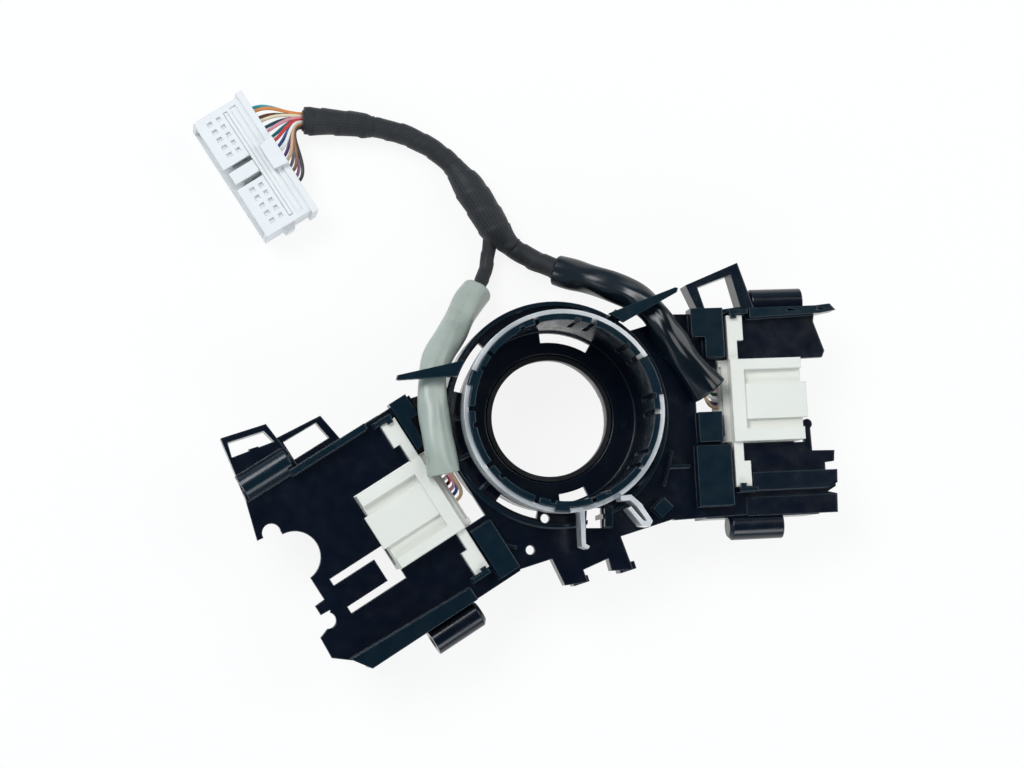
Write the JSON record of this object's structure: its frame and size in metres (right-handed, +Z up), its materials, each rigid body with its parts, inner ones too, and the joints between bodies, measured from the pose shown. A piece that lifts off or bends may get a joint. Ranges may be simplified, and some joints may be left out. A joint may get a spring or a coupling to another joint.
{
  "type": "steering angle sensor",
  "caption": "Steering column switch base with a geared angle sensor, sprung column collar with a steel clamp band, stalk connectors and a taped cable harness.",
  "frame": {"origin": "on the rotor's axis, in the plane of the sensor cover's outer face that the part rests on", "axes": "+Z up the steering column towards the collar's open end, +X along the span of the two wings, +Y away from the wings' droop"},
  "size_m": [0.2097, 0.1984, 0.0418],
  "materials": {
    "black_plastic": "moulded, slightly glossy",
    "steel": "bright rolled spring steel",
    "sensor_plastic": "plain moulded",
    "magnet": "dull sintered",
    "board": "solder mask",
    "white_plastic": "satin off-white moulding",
    "tin": "tin plate",
    "wire_insulation": "thin insulation in mixed colours",
    "black_sleeve": "smooth soft tubing",
    "grey_sleeve": "smooth soft tubing",
    "tape": "woven cloth tape"
  },
  "bodies": {
    "base": {"base_bracket": "black_plastic", "clamp_band": "steel", "sensor_cover": "black_plastic", "circuit_board": "board", "sensor_chips": "sensor_plastic", "board_connector": "white_plastic", "right_connector": "white_plastic", "right_connector_holder": "white_plastic", "right_terminals": "tin", "right_wires": "wire_insulation", "left_connector": "white_plastic", "left_connector_holder": "white_plastic", "left_terminals": "tin", "left_wires": "wire_insulation", "right_sleeve": "black_sleeve", "left_sleeve": "grey_sleeve", "harness_cord": "tape", "left_branch_cord": "tape", "splice_wrap": "tape", "plug_end_wrap": "tape", "plug_housing": "white_plastic", "plug_retainer": "white_plastic", "plug_terminals": "tin", "plug_wires": "wire_insulation"},
    "rotor": {"rotor": "sensor_plastic"},
    "gear_a": {"measuring_gear_a": "sensor_plastic", "magnet_a": "magnet"},
    "gear_b": {"measuring_gear_b": "sensor_plastic", "magnet_b": "magnet"}
  },
  "joints": [
    {"name": "rotor_spin", "type": "hinge", "parent": "base", "child": "rotor", "pos_m": [0, 0, 0], "axis": [0, 0, 1], "continuous": true},
    {"name": "gear_a_spin", "type": "hinge", "parent": "base", "child": "gear_a", "pos_m": [0.02743, -0.00304, 0], "axis": [0, 0, 1], "continuous": true},
    {"name": "gear_b_spin", "type": "hinge", "parent": "base", "child": "gear_b", "pos_m": [0.0221, -0.0172, 0], "axis": [0, 0, 1], "continuous": true}
  ],
  "couplings": [
    {"joint": "gear_a_spin", "follows": "rotor_spin", "ratio": -4.75},
    {"joint": "gear_b_spin", "follows": "rotor_spin", "ratio": -4.3846}
  ]
}
